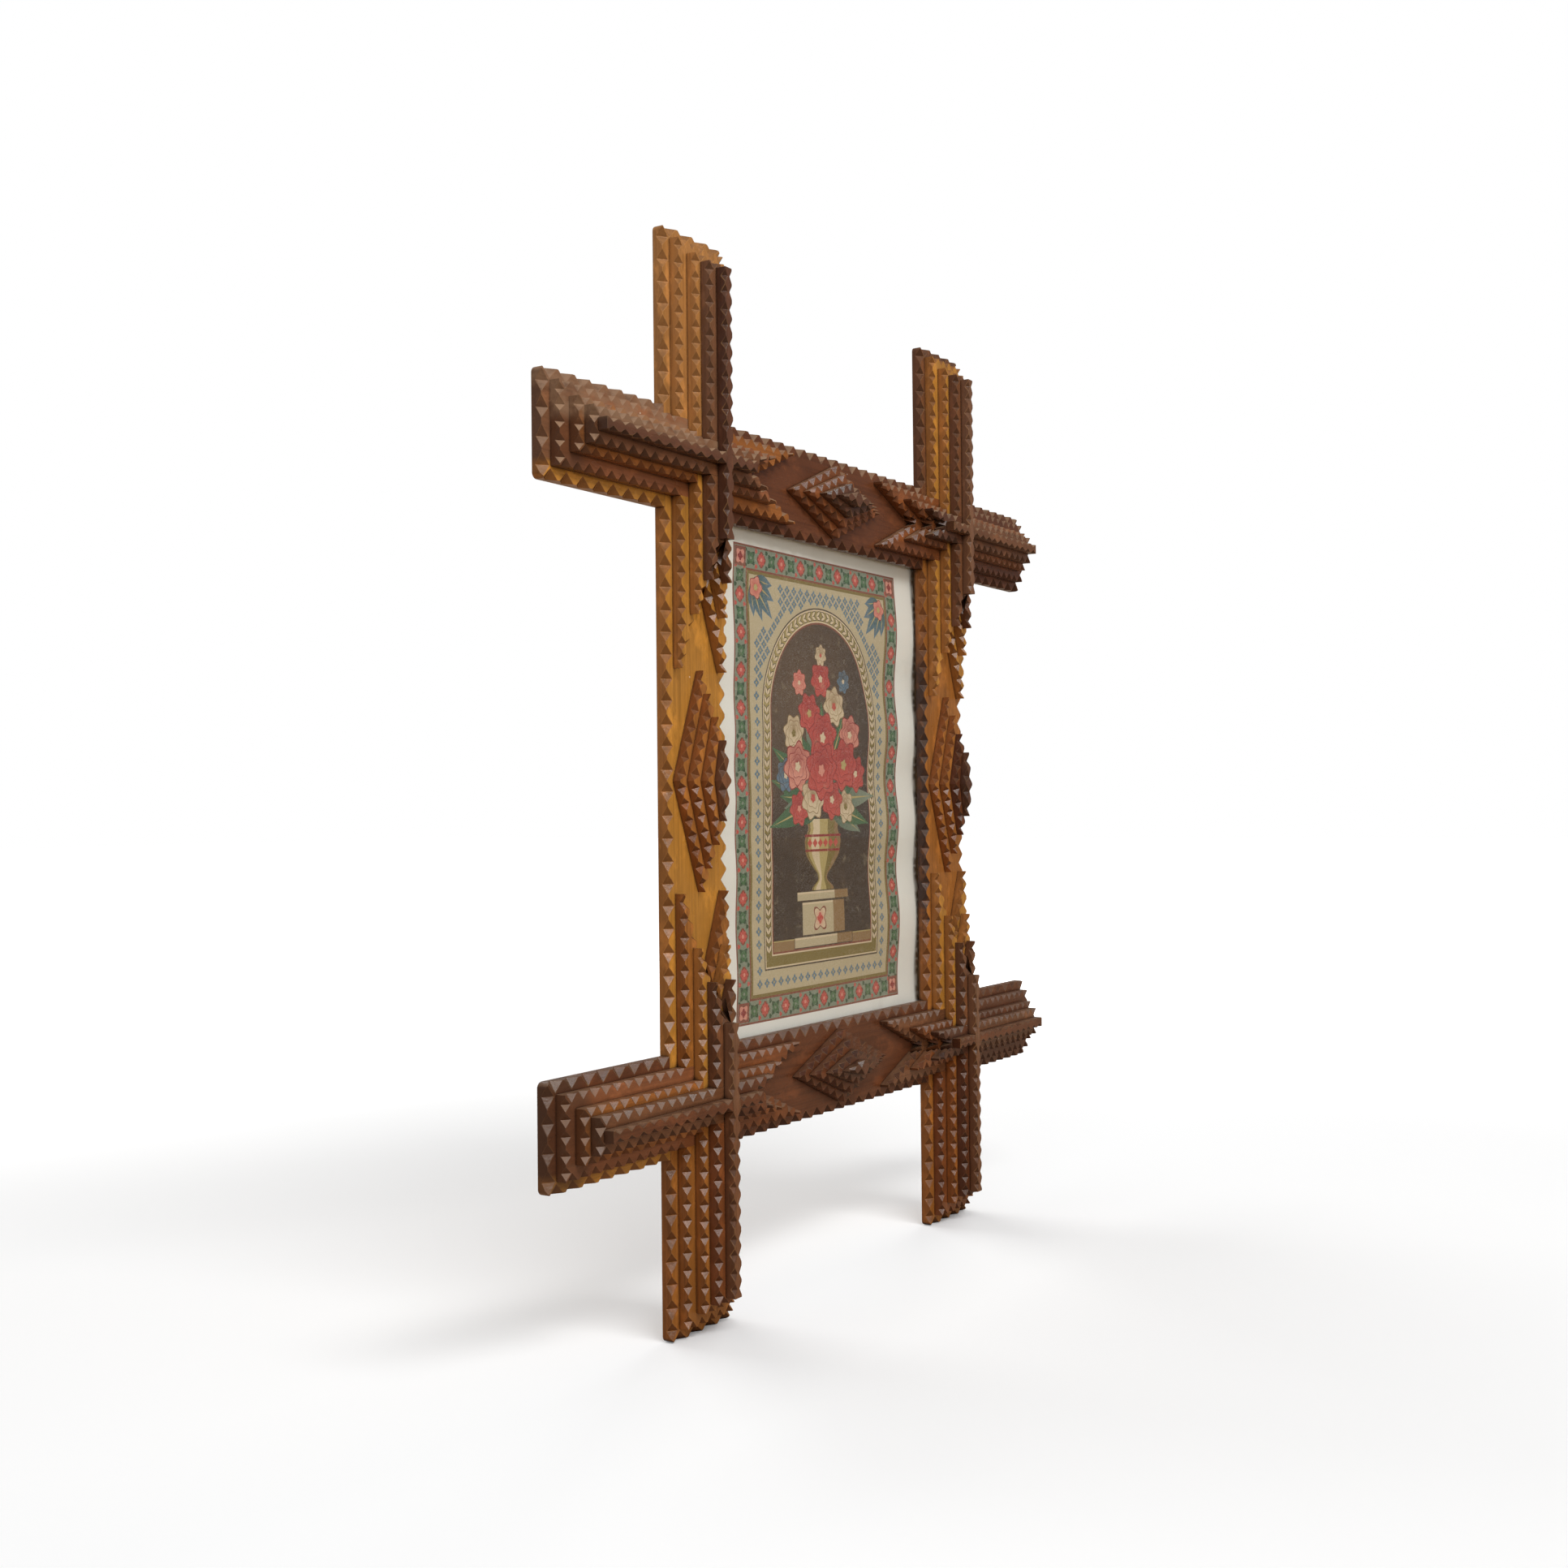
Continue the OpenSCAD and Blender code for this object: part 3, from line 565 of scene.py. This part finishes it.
for side in (-1, 1):
    fan = (side * FAN_X, FAN_Z)
    for bend in FAN_BENDS:
        turn = bend - np.pi / 2 - side * np.pi / 4
        length = FAN_REACH - FAN_TAPER * abs(bend)
        ink(leaf(*fan, length, FAN_LEAF_W, turn, 12), SKY, DEEP_LEAF, fan, length)
        ink(leaf(*fan, length * 0.86, 1.3, turn), PALE_GOLD)
    rose_x, rose_z = side * (FAN_X - 5), FAN_Z - 5
    ink(rosette(rose_x, rose_z, 7.0, 5, 0.14), DEEP_ROSE)
    ink(rosette(rose_x, rose_z, 6.4, 5, 0.14), BLUSH, ROSE, (rose_x, rose_z), 7)
    ink(rosette(rose_x, rose_z, 2.2, 5, 0.1, 0.0, 16), PALE_GOLD)

# The niche: a gold band round a dark ground, with pairs of laurel leaves that climb it to the crown
NICHE_LINES = ((NICHE_BAND, SHADE, SHADE), (10, CREAM, CREAM), (9, GOLD, PALE_GOLD), (2.2, CREAM, CREAM),
               (1.2, LINE_RED, LINE_RED), (0, DEEP_EARTH, EARTH))
NICHE_LIGHT, NICHE_FADE = (-30, 60), 110
for grow, colour, heart in NICHE_LINES:
    ink(niche(NICHE_W + grow, NICHE_FLOOR - grow, NICHE_SPRING), colour, heart, NICHE_LIGHT, NICHE_FADE)
LAUREL_R, LAUREL_STEP, LAUREL_LEAN = NICHE_W + 5.6, 6.0, 0.5
side_z = np.arange(NICHE_FLOOR, NICHE_SPRING, LAUREL_STEP)
arch_a = np.arange(0, np.pi / 2 - 0.04, LAUREL_STEP / LAUREL_R)
laurel = np.vstack([
    np.column_stack([np.full_like(side_z, LAUREL_R), side_z, np.zeros_like(side_z)]),
    np.column_stack([LAUREL_R * np.cos(arch_a), NICHE_SPRING + LAUREL_R * np.sin(arch_a), arch_a]),
])
for x, z, climb in laurel:
    for side in (-1, 1):
        for lean in (-LAUREL_LEAN, LAUREL_LEAN):
            turn = np.pi / 2 + side * climb + lean
            ink(leaf(side * x, z, 6.6, 3.2, turn), SHADE)
            ink(leaf(side * x, z, 5.9, 2.1, turn), CREAM)

# The pedestal on the niche's floor, lit from the left, and the urn and its flowers on it
SHELF_H, SHELF_EDGE = 7.0, 6.2
ink_box(-NICHE_W, NICHE_FLOOR, NICHE_W, NICHE_FLOOR + SHELF_H, TAN_INK)
ink_box(-NICHE_W, NICHE_FLOOR + SHELF_EDGE, NICHE_W, NICHE_FLOOR + SHELF_H, PALE_GOLD)
# Each block's bottom and top above the floor, and half its width
PEDESTAL_BLOCKS = ((0, 8, 38), (8, 31, 28), (31, 38, 34))
BLOCK_LINE, LIT_SHARE, LIT_TOP = 0.7, 0.45, 2
for bottom, top, half in PEDESTAL_BLOCKS:
    low_z, high_z = NICHE_FLOOR + bottom, NICHE_FLOOR + top
    ink_box(-half, low_z, half, high_z, SHADE)
    ink_box(BLOCK_LINE - half, low_z + BLOCK_LINE, half - BLOCK_LINE, high_z - BLOCK_LINE, TAN_INK)
    ink_box(BLOCK_LINE - half, low_z + BLOCK_LINE, LIT_SHARE * half, high_z - BLOCK_LINE, STONE)
    ink_box(BLOCK_LINE - half, high_z - LIT_TOP, LIT_SHARE * half, high_z - BLOCK_LINE, CREAM)
FOIL_PLACE = (-5, NICHE_FLOOR + 19)
ink(rosette(*FOIL_PLACE, 8, 4, 0.3, np.pi / 4), LINE_RED)
ink(rosette(*FOIL_PLACE, 6.8, 4, 0.3, np.pi / 4), CREAM, BLUSH, FOIL_PLACE, 8)
ink(rosette(*FOIL_PLACE, 3.4, 4, 0.2), ROSE)
URN_FOOT, URN_H = NICHE_FLOOR + PEDESTAL_BLOCKS[-1][1], 48
URN_RIM = URN_FOOT + URN_H
URN_HEIGHTS = np.array([0, 3, 5, 10, 16, 24, 34, 42, 46, 48])
URN_RADII = np.array([15, 15, 7, 5.5, 14, 23, 25, 19, 22, 22])
urn_z = np.linspace(0, URN_H, 49)
urn_r = np.interp(urn_z, URN_HEIGHTS, URN_RADII)
urn_r = np.convolve(np.pad(urn_r, 2, mode="edge"), np.ones(5) / 5, mode="valid")
# The shares of the urn's radius that each tone covers to the left and to the right
URN_TONES = ((1.0, 1.0, SHADE), (0.96, 0.96, TAN_INK), (0.9, 0.72, GOLD), (0.8, 0.3, PALE_GOLD),
             (0.62, -0.2, CREAM))
for left, right, colour in URN_TONES:
    left_side = np.column_stack([-left * urn_r, urn_z])
    right_side = np.column_stack([right * urn_r, urn_z])[::-1]
    ink(np.vstack([left_side, right_side]) + [0, URN_FOOT], colour)
URN_RINGS, RING_H = ((26, 22.6), (36, 23.4)), 1.6
for z, r in URN_RINGS:
    ink_box(-r, URN_FOOT + z, r, URN_FOOT + z + RING_H, DEEP_ROSE)
URN_DOTS_Z, URN_DOTS_X = 31.8, np.linspace(-17, 17, 6)
for x in URN_DOTS_X:
    ink(rosette(x, URN_FOOT + URN_DOTS_Z, 2.5, 4, 0.2, 0.0, 20), ROSE)

# Leaves of uneven length fan out from the heart of the bouquet, and droop a little at both sides
heart_z = URN_RIM + 13
LEAVES, DROOP, LEAF_LEN, LEAF_SWING = 27, 0.42, 56, 16
for i, turn in enumerate(np.linspace(-DROOP, np.pi + DROOP, LEAVES)):
    reach = LEAF_LEN + LEAF_SWING * math.sin(2.6 * i)
    ink(leaf(0, heart_z, reach, 15, turn, 14), SAGE if i % 3 == 0 else LEAF, DEEP_LEAF, (0, heart_z), 62)
    ink(leaf(0, heart_z, reach * 0.94, 1.6, turn, 8), PALE_GOLD)
# Each bloom's place from the middle of the rim, its size, and its petals', edges' and heart's colours
BLOOMS = [
    (-36, 57, 12, CREAM, TAN_INK, GOLD), (37, 58, 13, BLUSH, DEEP_ROSE, CREAM),
    (-16, 71, 13, ROSE, DEEP_ROSE, PALE_GOLD), (17, 77, 13, CREAM, TAN_INK, ROSE),
    (0, 95, 12, ROSE, DEEP_ROSE, CREAM), (-46, 29, 11, SKY, SHADE, CREAM),
    (47, 31, 12, ROSE, DEEP_ROSE, CREAM), (-28, 91, 8, BLUSH, ROSE, CREAM),
    (31, 95, 8, SKY, SHADE, CREAM), (-30, 7, 11, ROSE, DEEP_ROSE, BLUSH),
    (31, 8, 11, CREAM, TAN_INK, GOLD), (0, 111, 7, CREAM, TAN_INK, ROSE),
    (-31, 35, 16, BLUSH, DEEP_ROSE, CREAM), (30, 37, 17, ROSE, DEEP_ROSE, PALE_GOLD),
    (1, 55, 17, ROSE, DEEP_ROSE, CREAM), (-12, 14, 14, CREAM, TAN_INK, ROSE),
    (13, 13, 13, ROSE, DEEP_ROSE, CREAM), (0, 33, 19, ROSE, DEEP_ROSE, BLUSH),
]
for x, rise, size, petal, edge, heart in BLOOMS:
    z = URN_RIM + rise
    turn = 0.37 * x + 0.11 * rise
    for share, petals in ((1.0, 7), (0.74, 6), (0.48, 5)):
        ink(rosette(x, z, size * share, petals, 0.13, turn + share, 42), edge)
        ink(rosette(x, z, size * share * 0.94, petals, 0.13, turn + share, 42), petal, edge,
            (x, z + 0.2 * size), 1.1 * size * share)
    ink(rosette(x, z, size * 0.2, 5, 0.2, turn, 20), heart)


def inside(outline, points):
    """Which points lie within an outline: those from which a line to the right crosses it an odd number of
    times."""
    x0, z0 = outline.T[:, None, :]
    x1, z1 = np.roll(outline, -1, axis=0).T[:, None, :]
    x, z = points.T[:, :, None]
    spans = (z0 > z) != (z1 > z)
    crossing_x = x0 + (z - z0) * (x1 - x0) / np.where(z1 == z0, 1.0, z1 - z0)
    return (spans & (x < crossing_x)).sum(axis=1) % 2 == 1


BEND_STEP = 5.0


def bendable(outline):
    """The same outline with points put in, so that no side is longer than a step and the paper bends along
    it: each side is its start and its run times even shares."""
    runs = np.roll(outline, -1, axis=0) - outline
    counts = np.maximum(np.ceil(np.linalg.norm(runs, axis=1) / BEND_STEP), 1).astype(int)
    shares = np.concatenate([np.arange(count) / count for count in counts])
    return np.repeat(outline, counts, axis=0) + np.repeat(runs, counts, axis=0) * shares[:, None]


# The sheet's triangles follow the printed shapes, and a loose net of points lets it bend between them
NET_X, NET_Z, NET_SHARE = 44, 54, 0.497
MERGE_WITHIN = 1e-4
outlines = [inked[0] for inked in inks]
cut_up = [bendable(outline) for outline in outlines]
net = np.meshgrid(np.linspace(-NET_SHARE, NET_SHARE, NET_X) * sheet_w + sheet_mid_x,
                  np.linspace(-NET_SHARE, NET_SHARE, NET_Z) * sheet_h + sheet_mid_z)
flat_points = np.vstack(cut_up + [np.column_stack([net[0].ravel(), net[1].ravel()])])
starts = np.cumsum([0] + [len(outline) for outline in cut_up])
edges = np.vstack([np.column_stack([np.arange(a, b), np.roll(np.arange(a, b), -1)])
                   for a, b in zip(starts[:-1], starts[1:])])
net_made = delaunay_2d_cdt([Vector(p) for p in flat_points], edges.tolist(), [], 0, MERGE_WITHIN, False)
points = np.array([tuple(p) for p in net_made[0]])
triangles = np.array(net_made[2])
middles = points[triangles].mean(axis=1)
top_ink = np.zeros(len(triangles), int)
for number, outline in enumerate(outlines):
    near = np.flatnonzero(np.all((middles >= outline.min(axis=0)) & (middles <= outline.max(axis=0)), axis=1))
    top_ink[near[inside(outline, middles[near])]] = number


def buckle(x, z):
    """How far the paper stands off its middle plane, in millimetres: waves down the sheet that grow
    towards the right-hand margin, a ripple down its left and a slow sway across it. They stay within the
    room of the pocket."""
    right = np.clip((x + 60) / 155, 0, 1) ** 1.3
    left = np.clip(-(x + 30) / 90, 0, 1)
    waves = 1.3 * right * np.sin(2 * np.pi * (z + 12) / 74 + 0.7 * np.sin(z / 47))
    ripple = 0.6 * left * np.sin(2 * np.pi * z / 52 + 0.9 * np.sin(z / 31))
    sway = 0.2 * np.sin(2 * np.pi * x / 230 + z / 160)
    return waves + ripple + sway


paper_mesh = bpy.data.meshes.new("printed_paper")
paper_y = (sheet_low.y + sheet_high.y) / 2 / MM
paper_points = np.column_stack([
    points[:, 0] + PRINT_X,
    paper_y - PAPER_T / 2 + buckle(*points.T),
    points[:, 1] + PRINT_Z,
])
paper_mesh.from_pydata((paper_points * MM).tolist(), [], triangles.tolist())
own, heart = (np.array([inked[i] for inked in inks])[top_ink][:, None] for i in (1, 2))
place, reach = (np.array([inked[i] for inked in inks])[top_ink][:, None] for i in (3, 4))
away = np.linalg.norm(points[triangles] - place, axis=2) / reach
ink_colours = heart + (own - heart) * np.clip(away, 0, 1)[..., None]
attribute = paper_mesh.attributes.new("ink", "FLOAT_COLOR", "CORNER")
attribute.data.foreach_set("color", ink_colours.ravel())
paper_mesh.shade_smooth()
paper = bpy.data.objects.new("printed_paper", paper_mesh)
bpy.context.scene.collection.objects.link(paper)
thicken = paper.modifiers.new("Paper", "SOLIDIFY")
thicken.thickness = PAPER_T * MM
thicken.offset = -1

paper_finish, tree, shader = new_finish("printed_paper")
point = add_node(tree, "ShaderNodeTexCoord").outputs["Object"]
design = add_node(tree, "ShaderNodeAttribute", attribute_name="ink")
printed, is_inked = design.outputs["Color"], design.outputs["Alpha"]
litho = stretched_noise(tree, point, RAIL_AXIS, 0.45, 0.45, (0, 0, 0), 2)
worn = stretched_noise(tree, point, RAIL_AXIS, 9, 9, (3, 1, 2), 5, 0.65)
foxing = stretched_noise(tree, point, RAIL_AXIS, 38, 38, (9, 4, 7), 5)
colour = add_mix(tree, add_ramp(tree, litho, 0.5, 0.72, 0.0, 0.28), printed, PAPER)
colour = add_mix(tree, add_ramp(tree, litho, 0.5, 0.3, 0.0, 0.22), colour, SHADE)
colour = add_mix(tree, add_ramp(tree, worn, 0.55, 0.8, 0.0, 0.3), colour, CREAM)
colour = add_mix(tree, is_inked, printed, colour)
colour = add_mix(tree, add_ramp(tree, foxing, 0.55, 0.8, 0.0, 0.16), colour, TAN_INK)
tree.links.new(colour, shader.inputs["Base Color"])
tree.links.new(add_ramp(tree, worn, 0.3, 0.7, 0.5, 0.68), shader.inputs["Roughness"])
fibre = stretched_noise(tree, point, RAIL_AXIS, 0.25, 0.9, (0, 0, 0), 3)
bump = add_node(tree, "ShaderNodeBump", {"Height": fibre, "Strength": 0.15, "Distance": 0.05 * MM})
tree.links.new(bump.outputs[0], shader.inputs["Normal"])
shader.inputs["Specular IOR Level"].default_value = 0.3
paper_mesh.materials.append(paper_finish)
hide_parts("printed_sheet")
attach(paper, "frame")


# Brads and hanger screws: plain iron. The brads are driven into the cleats to hold the backboard, and the
# two screws hold the hanger. The metal is grey, and brown in patches where it has rusted.
IRON, IRON_RUST = paint(96, 90, 86), paint(98, 60, 40)


def old_metal(name, clean, tarnish, spread, rough, metallic):
    """Old metal with patches of tarnish: clean where the noise is low, with a dull skin where it is high."""
    made, tree, shader = new_finish(name)
    point = add_node(tree, "ShaderNodeTexCoord").outputs["Object"]
    patches = stretched_noise(tree, point, RAIL_AXIS, 2.4, 2.4, (1, 2, 3), 5, 0.65)
    scratches = stretched_noise(tree, point, RAIL_AXIS, 0.12, 2.5, (4, 5, 6), 2)
    share = add_ramp(tree, patches, spread - 0.12, spread + 0.12)
    tree.links.new(add_mix(tree, share, clean, tarnish), shader.inputs["Base Color"])
    rough_now = add_math(tree, "ADD", add_math(tree, "MULTIPLY", share, 0.3), rough)
    tree.links.new(rough_now, shader.inputs["Roughness"])
    tree.links.new(add_ramp(tree, share, 0.0, 1.0, metallic, 0.35 * metallic), shader.inputs["Metallic"])
    relief = add_math(tree, "ADD", patches, add_math(tree, "MULTIPLY", scratches, 0.3))
    bump = add_node(tree, "ShaderNodeBump", {"Height": relief, "Strength": 0.35, "Distance": 0.15 * MM})
    tree.links.new(bump.outputs[0], shader.inputs["Normal"])
    return made


iron = old_metal("old_iron", IRON, IRON_RUST, spread=0.5, rough=0.4, metallic=0.9)
for name in ("backboard_brads", "hanger_screws"):
    dress(name, iron)

# Hanger: a stamped brass plate with a rolled knuckle, screwed to the back of the top rail, and the ring of
# brass wire that swings in it.
BRASS, BRASS_TARNISH = paint(196, 158, 84), paint(112, 88, 50)
brass = old_metal("old_brass", BRASS, BRASS_TARNISH, spread=0.52, rough=0.28, metallic=1.0)
for name in ("hanger_plate", "hanger_ring"):
    dress(name, brass)

# Stage: a pale floor under the frame, in a white room that is dimmer at the right. The floor glows white
# far away, and near the frame it is left to the lamps, so that the shadow shows.
FLOOR_Z = cad_low.z - 0.2 * MM
STAGE_REACH = 14.0
GLOW_NEAR, GLOW_FAR = 0.7, 2.4
WEAK_GLOW, FULL_GLOW = 0.13, 0.9
LOW_WALL, HIGH_WALL, DIM_WALL = (0.3, 0.3, 0.3, 1), (0.36, 0.36, 0.36, 1), (0.08, 0.08, 0.08, 1)
WHITE, FLOOR_SEEN, FLOOR_BOUNCE = (1, 1, 1, 1), paint(240, 240, 240), paint(178, 158, 134)


def sees_stage(tree, mirrored):
    """One for what the eye sees, straight or through glass, the share mirrored for what a mirror sees, and
    nought for the light that falls on the object."""
    path = add_node(tree, "ShaderNodeLightPath")
    seen = add_math(tree, "MAXIMUM", path.outputs["Is Camera Ray"], path.outputs["Is Transmission Ray"])
    in_mirror = add_math(tree, "MULTIPLY", path.outputs["Is Glossy Ray"], mirrored)
    return add_math(tree, "MAXIMUM", seen, in_mirror)


floor_mesh = bpy.data.meshes.new("floor")
floor_corners = [(x * STAGE_REACH, y * STAGE_REACH, FLOOR_Z) for x, y in ((-1, -1), (1, -1), (1, 1), (-1, 1))]
floor_mesh.from_pydata(floor_corners, [], [(0, 1, 2, 3)])
floor = bpy.data.objects.new("floor", floor_mesh)
bpy.context.scene.collection.objects.link(floor)
floor_finish, tree, shader = new_finish("pale_floor")
shader.inputs["Roughness"].default_value = 0.9
shader.inputs["Specular IOR Level"].default_value = 0.0
seen = sees_stage(tree, 0.04)
tree.links.new(add_mix(tree, seen, FLOOR_BOUNCE, FLOOR_SEEN), shader.inputs["Base Color"])
shader.inputs["Emission Color"].default_value = WHITE
spot = add_node(tree, "ShaderNodeTexCoord").outputs["Object"]
away = add_node(tree, "ShaderNodeVectorMath", {0: spot, 1: (0, 0, FLOOR_Z)}, operation="DISTANCE")
glow = add_ramp(tree, away.outputs["Value"], GLOW_NEAR, GLOW_FAR, WEAK_GLOW, FULL_GLOW)
tree.links.new(add_math(tree, "MULTIPLY", seen, glow), shader.inputs["Emission Strength"])
floor_mesh.materials.append(floor_finish)

world = bpy.data.worlds.new("studio")
bpy.context.scene.world = world
world.use_nodes = True
tree = world.node_tree
background = tree.nodes["Background"]
seen = sees_stage(tree, 0.1)
around = add_node(tree, "ShaderNodeTexCoord").outputs["Generated"]
to_right, _, to_top = add_node(tree, "ShaderNodeSeparateXYZ", {0: around}).outputs
room = add_mix(tree, add_ramp(tree, to_top, -0.1, 0.8), LOW_WALL, HIGH_WALL)
room = add_mix(tree, add_ramp(tree, to_right, -0.2, 0.8, 0.0, 0.7), room, DIM_WALL)
tree.links.new(add_mix(tree, seen, room, WHITE), background.inputs["Color"])


# Lamps: a wide soft box high in front of the frame and to its left, which the lower facets that face up
# catch, a larger and matt one level with it, a weak one at its left, one behind and a matt one at its right.
def soft_box(name, place, target, width, height, watts, mirrored=True):
    """An area lamp at a place, turned to shine on a target, and seen or not seen in what it shines on."""
    lamp = bpy.data.lights.new(name, "AREA")
    lamp.shape, lamp.size, lamp.size_y, lamp.energy = "RECTANGLE", width, height, watts
    stand = bpy.data.objects.new(name, lamp)
    stand.location = place
    stand.visible_glossy, stand.visible_camera = mirrored, False
    stand.rotation_mode = "QUATERNION"
    stand.rotation_quaternion = (Vector(target) - Vector(place)).to_track_quat("-Z", "Y")
    bpy.context.scene.collection.objects.link(stand)


frame_middle = (cad_low + cad_high) / 2
soft_box("high_box", (-0.7, -1.5, 1.4), frame_middle, width=1.8, height=0.5, watts=31)
soft_box("front_box", (-0.9, -2.2, -0.3), frame_middle, width=2.0, height=1.6, watts=14, mirrored=False)
soft_box("left_box", (-2.3, -0.9, 0.4), frame_middle, width=1.4, height=1.4, watts=9)
soft_box("back_box", (0.5, 2.2, 0.5), frame_middle, width=2.0, height=1.6, watts=34)
soft_box("right_box", (2.3, 0.3, 0.3), frame_middle, width=1.4, height=1.4, watts=22, mirrored=False)

# Camera: level with the middle of the frame and well to its left, where the photograph was taken from. Its
# place, turn and lens are fitted to the frame's corners in the photograph.
CAMERA_PLACE = (-0.992678, -0.608172, -0.220121)
CAMERA_YAW, CAMERA_PITCH, CAMERA_ROLL = np.radians([57.604, 0.817, -0.594])
SENSOR, LENS = 36.0, 39.196
ahead = Vector((math.sin(CAMERA_YAW) * math.cos(CAMERA_PITCH), math.cos(CAMERA_YAW) * math.cos(CAMERA_PITCH),
                math.sin(CAMERA_PITCH)))
level = Vector((math.cos(CAMERA_YAW), -math.sin(CAMERA_YAW), 0))
upright = level.cross(ahead)
right = math.cos(CAMERA_ROLL) * level + math.sin(CAMERA_ROLL) * upright
up = math.cos(CAMERA_ROLL) * upright - math.sin(CAMERA_ROLL) * level
lens = bpy.data.cameras.new("camera")
lens.sensor_width, lens.lens = SENSOR, LENS
lens.clip_start, lens.clip_end = 0.01, 60
camera = bpy.data.objects.new("camera", lens)
camera.matrix_world = Matrix.Translation(CAMERA_PLACE) @ Matrix((right, up, -ahead)).transposed().to_4x4()
bpy.context.scene.collection.objects.link(camera)
bpy.context.scene.camera = camera
bpy.context.scene.view_settings.view_transform = "Standard"

# Brings every object's placement up to date.
bpy.context.view_layer.update()
